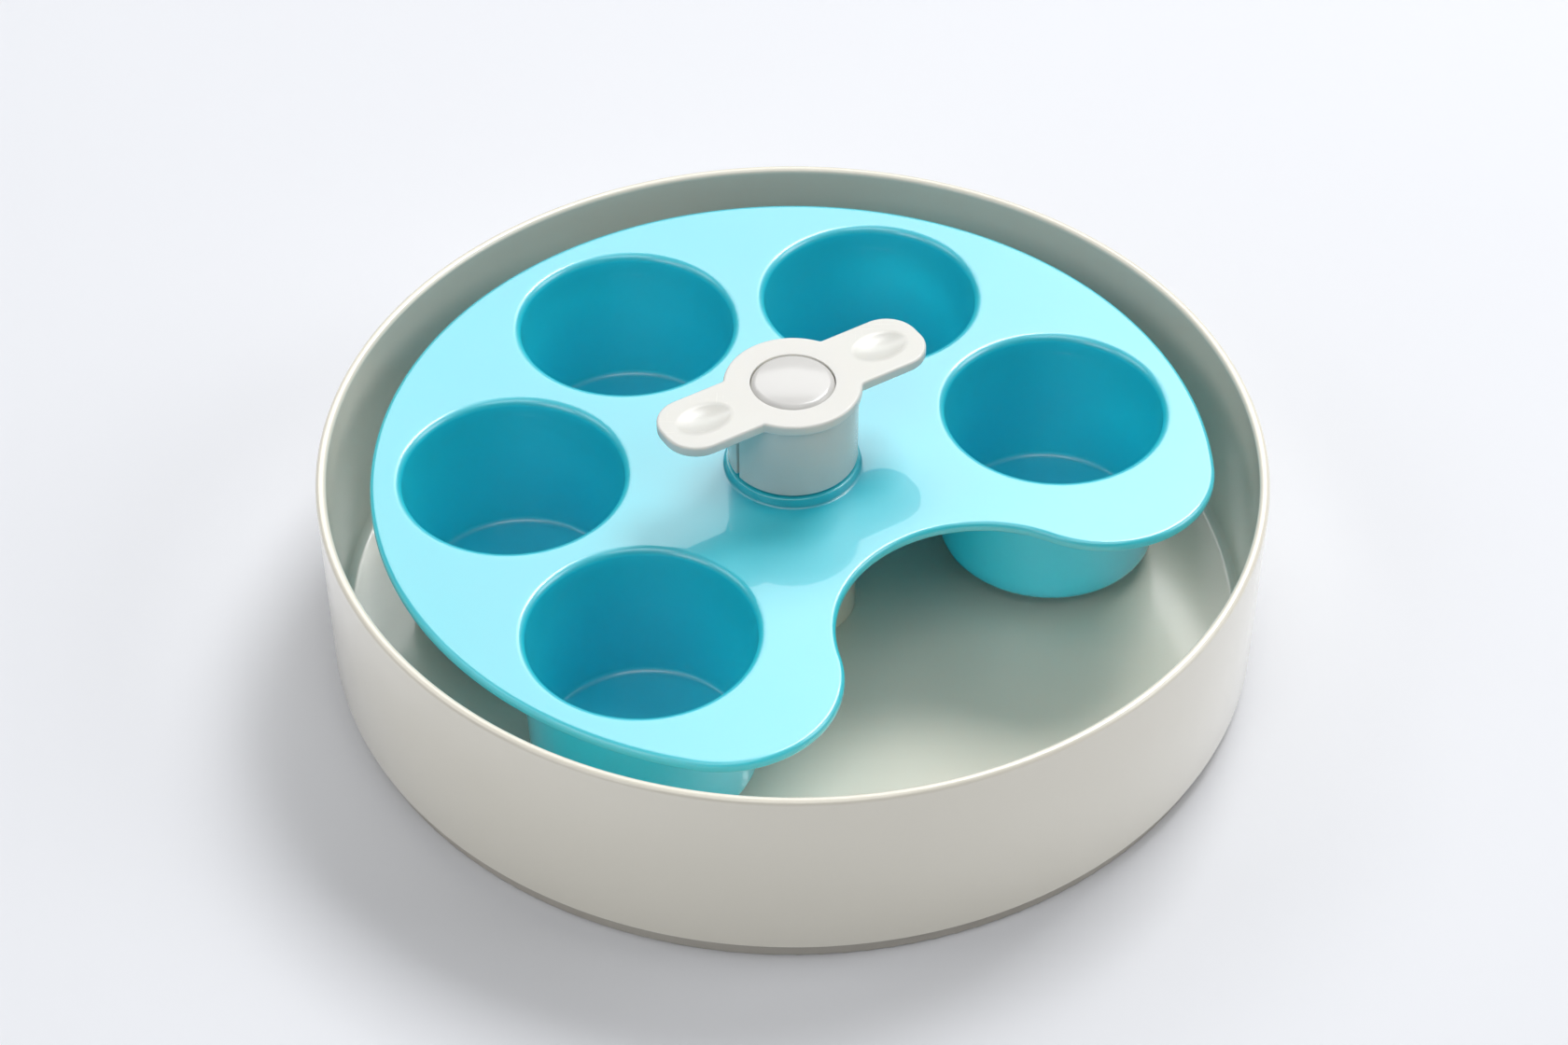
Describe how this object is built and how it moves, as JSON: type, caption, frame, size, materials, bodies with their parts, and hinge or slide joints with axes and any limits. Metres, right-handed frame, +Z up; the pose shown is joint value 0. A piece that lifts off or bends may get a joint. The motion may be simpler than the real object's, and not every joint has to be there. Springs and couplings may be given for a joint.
{
  "type": "mixing palette",
  "caption": "Palette-shaped tray of round cups that spins on a post in a round bowl, with a winged lift-out handle and a push-button brake.",
  "frame": {"origin": "on the table under the middle of the bowl", "axes": "+Z up along the post; the tray's bay opens towards -Y and +X"},
  "size_m": [0.27, 0.27, 0.0903],
  "materials": {
    "bowl": "ivory, semi-gloss moulded",
    "tray": "light cyan, high gloss moulded",
    "grip": "warm white, satin gloss",
    "button": "warm white, gloss",
    "inner": "grey, matt",
    "bearing": "natural, low friction",
    "foot": "grey, soft",
    "screw": "stainless",
    "spring_steel": "bright wire"
  },
  "bodies": {
    "bowl": {"bowl": "bowl", "foot_ring": "foot", "base_cover": "bowl", "centre_column": "bowl", "column_screws": "screw", "guide_bush": "bearing"},
    "carrier": {"carrier_stem": "inner", "stem_plug": "inner", "lower_washer": "bearing", "upper_washer": "bearing", "retaining_clip": "spring_steel", "grip_core": "inner", "sleeve_front": "grip", "sleeve_rear": "grip", "wing_handle": "grip", "handle_screws": "screw", "button_spring": "spring_steel", "return_ring": "foot"},
    "tray": {"palette_tray": "tray", "cup_1": "tray", "cup_2": "tray", "cup_3": "tray", "cup_4": "tray", "cup_5": "tray", "tray_bush": "bearing"},
    "button": {"button": "button", "brake_plunger": "inner"},
    "shoe_left": {"brake_shoe_left": "inner", "brake_pad_left": "foot"},
    "shoe_right": {"brake_shoe_right": "inner", "brake_pad_right": "foot"}
  },
  "joints": [
    {"name": "carrier_lift", "type": "slide", "parent": "bowl", "child": "carrier", "axis": [0, 0, 1], "range_m": [0, 0.065]},
    {"name": "tray_spin", "type": "hinge", "parent": "carrier", "child": "tray", "pos_m": [0, 0, 0.059], "axis": [0, 0, 1], "continuous": true},
    {"name": "button_press", "type": "slide", "parent": "carrier", "child": "button", "axis": [0, 0, -1], "range_m": [0, 0.003], "stiffness_N_per_m": 600, "springref_m": -0.002, "deforming": ["button_spring"]},
    {"name": "shoe_left_slide", "type": "slide", "parent": "carrier", "child": "shoe_left", "axis": [0.8425, 0.5388, 0], "range_m": [0, 0.0012], "deforming": ["return_ring"]},
    {"name": "shoe_right_slide", "type": "slide", "parent": "carrier", "child": "shoe_right", "axis": [-0.8425, -0.5388, 0], "range_m": [0, 0.0012]}
  ],
  "couplings": [
    {"joint": "shoe_left_slide", "follows": "button_press", "ratio": 0.4},
    {"joint": "shoe_right_slide", "follows": "button_press", "ratio": 0.4}
  ]
}
